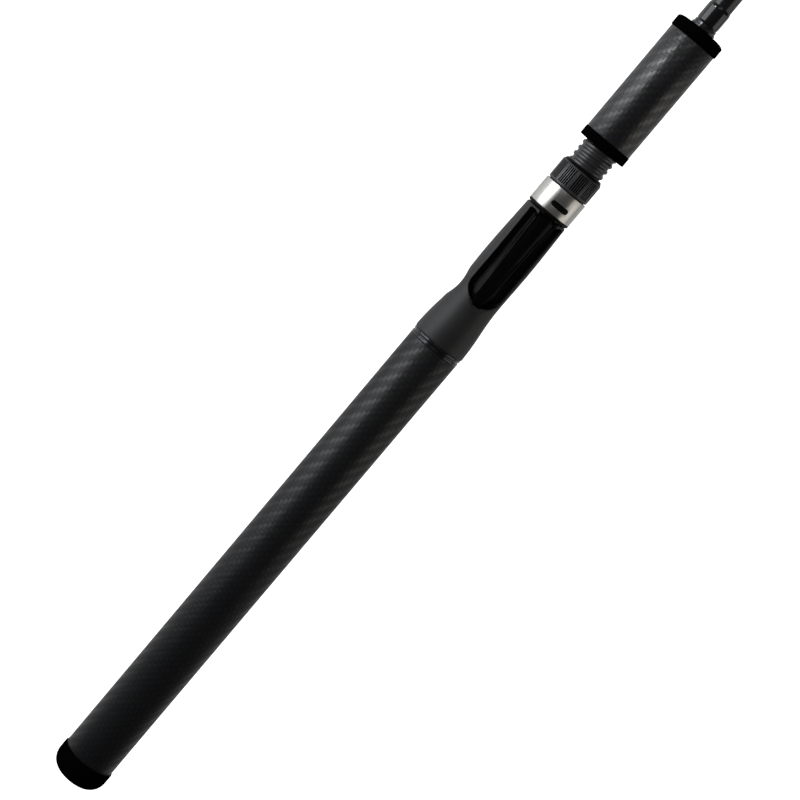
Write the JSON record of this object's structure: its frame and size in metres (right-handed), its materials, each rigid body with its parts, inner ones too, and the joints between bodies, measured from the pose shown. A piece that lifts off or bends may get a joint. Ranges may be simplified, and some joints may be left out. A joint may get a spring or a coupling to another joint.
{
  "type": "spinning rod",
  "caption": "Two-piece spinning rod with twill carbon grips, a reel seat with a screw-down sliding hood, and ring line guides to the tip.",
  "frame": {"origin": "centre of the butt cap's end face, on the rod's axis", "axes": "+X along the rod from butt to tip, +Z towards the side that carries the reel and the line guides"},
  "size_m": [2.134, 0.0324, 0.0677],
  "materials": {
    "eva_foam": "matte closed-cell foam, fine pores",
    "core_foam": "rigid foam and fibre bushes, hidden",
    "carbon_weave": "satin 2x2 twill carbon",
    "black_metal": "black anodised",
    "seat_plastic": "soft-touch moulded, matte dark grey",
    "liner_plastic": "moulded, satin black",
    "stainless": "brushed round the ring",
    "nut_plastic": "moulded knurl, satin",
    "wrap_epoxy": "black thread under clear gloss resin",
    "blank_carbon": "carbon blank, satin gloss",
    "guide_metal": "black-plated stainless",
    "ring_ceramic": "polished dark ceramic"
  },
  "bodies": {
    "butt_section": {"butt_cap": "eva_foam", "rear_grip_core": "core_foam", "rear_grip_tube": "carbon_weave", "rear_trim_ring": "black_metal", "reel_seat_body": "seat_plastic", "seat_arbors": "core_foam", "foregrip_rear_ring": "eva_foam", "foregrip_core": "core_foam", "foregrip_tube": "carbon_weave", "foregrip_front_ring": "eva_foam", "winding_check": "black_metal", "handle_wrap": "wrap_epoxy", "blank_butt_section": "blank_carbon", "stripper_guide_frame": "guide_metal", "stripper_guide_ring": "ring_ceramic", "stripper_guide_wraps": "wrap_epoxy"},
    "hood": {"hood_liner": "liner_plastic", "hood_shell": "stainless"},
    "lock_nut": {"lock_nut": "nut_plastic"},
    "tip_section": {"blank_tip_section": "blank_carbon", "ferrule_wrap": "wrap_epoxy", "second_guide_frame": "guide_metal", "second_guide_ring": "ring_ceramic", "second_guide_wraps": "wrap_epoxy", "third_guide_frame": "guide_metal", "third_guide_ring": "ring_ceramic", "third_guide_wraps": "wrap_epoxy", "fourth_guide_frame": "guide_metal", "fourth_guide_ring": "ring_ceramic", "fourth_guide_wraps": "wrap_epoxy", "fifth_guide_frame": "guide_metal", "fifth_guide_ring": "ring_ceramic", "fifth_guide_wraps": "wrap_epoxy", "sixth_guide_frame": "guide_metal", "sixth_guide_ring": "ring_ceramic", "sixth_guide_wraps": "wrap_epoxy", "tip_top_frame": "guide_metal", "tip_top_ring": "ring_ceramic", "tip_top_wrap": "wrap_epoxy"}
  },
  "joints": [
    {"name": "hood_slide", "type": "slide", "parent": "butt_section", "child": "hood", "axis": [1, 0, 0], "range_m": [0, 0.01235]},
    {"name": "nut_spin", "type": "hinge", "parent": "hood", "child": "lock_nut", "pos_m": [0.3992, 0, 0], "axis": [1, 0, 0], "range_deg": [0, 1260]},
    {"name": "ferrule_slide", "type": "slide", "parent": "butt_section", "child": "tip_section", "axis": [1, 0, 0], "range_m": [0, 0.09]}
  ],
  "couplings": [
    {"joint": "hood_slide", "follows": "nut_spin", "m_per_rad": 0.00055704}
  ]
}
